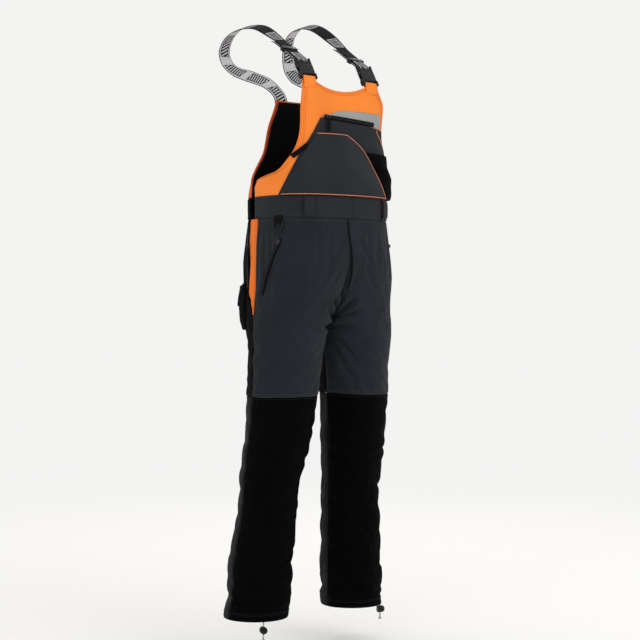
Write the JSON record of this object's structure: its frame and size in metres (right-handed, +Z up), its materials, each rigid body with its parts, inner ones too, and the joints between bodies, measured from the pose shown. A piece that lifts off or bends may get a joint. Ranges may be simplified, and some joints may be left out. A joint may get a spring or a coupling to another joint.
{
  "type": "chainsaw protection bib trousers",
  "caption": "Full-length bib-and-brace forestry trousers with cut-protection pads, chest pouch, zips, side-release braces and hem toggles, shaped as worn.",
  "frame": {"origin": "centre of the waist, level with the top of the waistband", "axes": "+Z up along the wearer, -Y to the wearer's front, -X to the wearer's right"},
  "size_m": [0.4772, 0.4411, 1.5563],
  "materials": {
    "orange_cloth": "matt high-visibility weave",
    "charcoal_cloth": "matt stretch weave",
    "black_cloth": "matt weave",
    "reflective": "retro-reflective tape",
    "pad_fibre": "layered fibre",
    "webbing": "woven elastic",
    "black_plastic": "moulded",
    "slider_metal": "satin",
    "cord": "braided elastic"
  },
  "bodies": {
    "trousers": {"front_thigh_right": "charcoal_cloth", "front_thigh_left": "charcoal_cloth", "back_thigh_right": "black_cloth", "back_thigh_left": "black_cloth", "shin_right": "black_cloth", "shin_left": "black_cloth", "calf_right": "black_cloth", "calf_left": "black_cloth", "side_stripe_right": "orange_cloth", "side_stripe_left": "orange_cloth", "cut_protection_pad_right": "pad_fibre", "cut_protection_pad_left": "pad_fibre", "waistband_right": "charcoal_cloth", "waistband_left": "charcoal_cloth", "side_zip_tape_right": "webbing", "side_zip_tape_left": "webbing", "hip_zip_tape_right": "webbing", "hip_zip_tape_left": "webbing", "belt_loop_right": "charcoal_cloth", "belt_loop_left": "charcoal_cloth", "strap_tab_right": "orange_cloth", "strap_tab_left": "orange_cloth", "buckle_socket_right": "black_plastic", "buckle_socket_left": "black_plastic", "hem_cord_right": "cord", "hem_cord_left": "cord", "waistband_back": "black_cloth", "bib_front": "orange_cloth", "bib_back": "orange_cloth", "bib_back_lining": "black_cloth", "reflective_band": "reflective", "chest_panel": "charcoal_cloth", "pouch": "charcoal_cloth", "pouch_gusset": "black_cloth", "diagonal_tape": "webbing", "chest_zip_tape": "webbing", "fly_flap": "charcoal_cloth", "d_ring_tab": "webbing", "cargo_pocket": "black_cloth"},
    "brace_right": {"strap_right": "webbing", "buckle_plug_right": "black_plastic"},
    "adjuster_right": {"strap_adjuster_right": "black_plastic"},
    "brace_left": {"strap_left": "webbing", "buckle_plug_left": "black_plastic"},
    "adjuster_left": {"strap_adjuster_left": "black_plastic"},
    "chest_slider": {"chest_zip_slider": "slider_metal"},
    "chest_pull": {"chest_zip_pull": "webbing"},
    "hip_slider_right": {"hip_zip_slider_right": "slider_metal"},
    "side_slider_right": {"side_zip_slider_right": "slider_metal"},
    "side_pull_right": {"side_zip_pull_right": "webbing"},
    "hip_slider_left": {"hip_zip_slider_left": "slider_metal"},
    "side_slider_left": {"side_zip_slider_left": "slider_metal"},
    "side_pull_left": {"side_zip_pull_left": "webbing"},
    "ring": {"d_ring": "black_plastic"},
    "pocket_flap": {"cargo_flap": "black_cloth"},
    "toggle_right": {"toggle_body_right": "black_plastic"},
    "button_right": {"toggle_button_right": "black_plastic"},
    "toggle_left": {"toggle_body_left": "black_plastic"},
    "button_left": {"toggle_button_left": "black_plastic"}
  },
  "joints": [
    {"name": "buckle_release_right", "type": "slide", "parent": "trousers", "child": "brace_right", "axis": [0, 0.5, 0.866], "range_m": [0, 0.034]},
    {"name": "adjuster_slide_right", "type": "slide", "parent": "brace_right", "child": "adjuster_right", "axis": [0, 0.841, 0.541], "range_m": [-0.04, 0.032]},
    {"name": "buckle_release_left", "type": "slide", "parent": "trousers", "child": "brace_left", "axis": [0, 0.5, 0.866], "range_m": [0, 0.034]},
    {"name": "adjuster_slide_left", "type": "slide", "parent": "brace_left", "child": "adjuster_left", "axis": [0, 0.841, 0.541], "range_m": [-0.016, 0.056]},
    {"name": "chest_zip_run", "type": "hinge", "parent": "trousers", "child": "chest_slider", "pos_m": [-0.00995, 1.19435, 0.10805], "axis": [0.0528, 0.0664, 0.9964], "range_deg": [-0.09, 6.24]},
    {"name": "chest_pull_swing", "type": "hinge", "parent": "chest_slider", "child": "chest_pull", "pos_m": [-0.05037, -0.11111, 0.19722], "axis": [-0.9981, 0.0344, 0.0506], "range_deg": [0, 120]},
    {"name": "hip_zip_run_right", "type": "hinge", "parent": "trousers", "child": "hip_slider_right", "pos_m": [0.18993, -0.44992, -0.37625], "axis": [-0.7541, -0.6475, -0.1097], "range_deg": [-0.2, 12.96]},
    {"name": "side_zip_run_right", "type": "hinge", "parent": "trousers", "child": "side_slider_right", "pos_m": [1.47049, 0.38637, -0.34408], "axis": [0.2102, -0.9736, 0.0887], "range_deg": [-1.69, 3.34]},
    {"name": "side_pull_swing_right", "type": "hinge", "parent": "side_slider_right", "child": "side_pull_right", "pos_m": [-0.18641, 0.05131, -0.12061], "axis": [0.1843, 0.9739, -0.1327], "range_deg": [0, 120]},
    {"name": "hip_zip_run_left", "type": "hinge", "parent": "trousers", "child": "hip_slider_left", "pos_m": [-0.18993, -0.44992, -0.37625], "axis": [-0.7541, 0.6475, 0.1097], "range_deg": [-0.2, 12.96]},
    {"name": "side_zip_run_left", "type": "hinge", "parent": "trousers", "child": "side_slider_left", "pos_m": [-1.47049, 0.38637, -0.34408], "axis": [0.2102, 0.9736, -0.0887], "range_deg": [-1.69, 3.34]},
    {"name": "side_pull_swing_left", "type": "hinge", "parent": "side_slider_left", "child": "side_pull_left", "pos_m": [0.18641, 0.05131, -0.12061], "axis": [0.1843, -0.9739, 0.1327], "range_deg": [0, 120]},
    {"name": "ring_swing", "type": "hinge", "parent": "trousers", "child": "ring", "pos_m": [-0.17446, -0.06562, -0.06566], "axis": [-0.3958, 0.9183, 0], "range_deg": [0, 150]},
    {"name": "flap_lift", "type": "hinge", "parent": "trousers", "child": "pocket_flap", "pos_m": [-0.16503, 0.09445, -0.21013], "axis": [0.6701, 0.7423, 0], "range_deg": [0, 105]},
    {"name": "toggle_slide_right", "type": "slide", "parent": "trousers", "child": "toggle_right", "axis": [0, 0, 1], "range_m": [-0.009, 0.009]},
    {"name": "button_press_right", "type": "slide", "parent": "toggle_right", "child": "button_right", "axis": [0.3826, 0.9239, 0], "range_m": [0, 0.003], "stiffness_N_per_m": 300, "springref_m": -0.002},
    {"name": "toggle_slide_left", "type": "slide", "parent": "trousers", "child": "toggle_left", "axis": [0, 0, 1], "range_m": [-0.009, 0.009]},
    {"name": "button_press_left", "type": "slide", "parent": "toggle_left", "child": "button_left", "axis": [-0.9303, 0.3668, 0], "range_m": [0, 0.003], "stiffness_N_per_m": 300, "springref_m": -0.002}
  ]
}
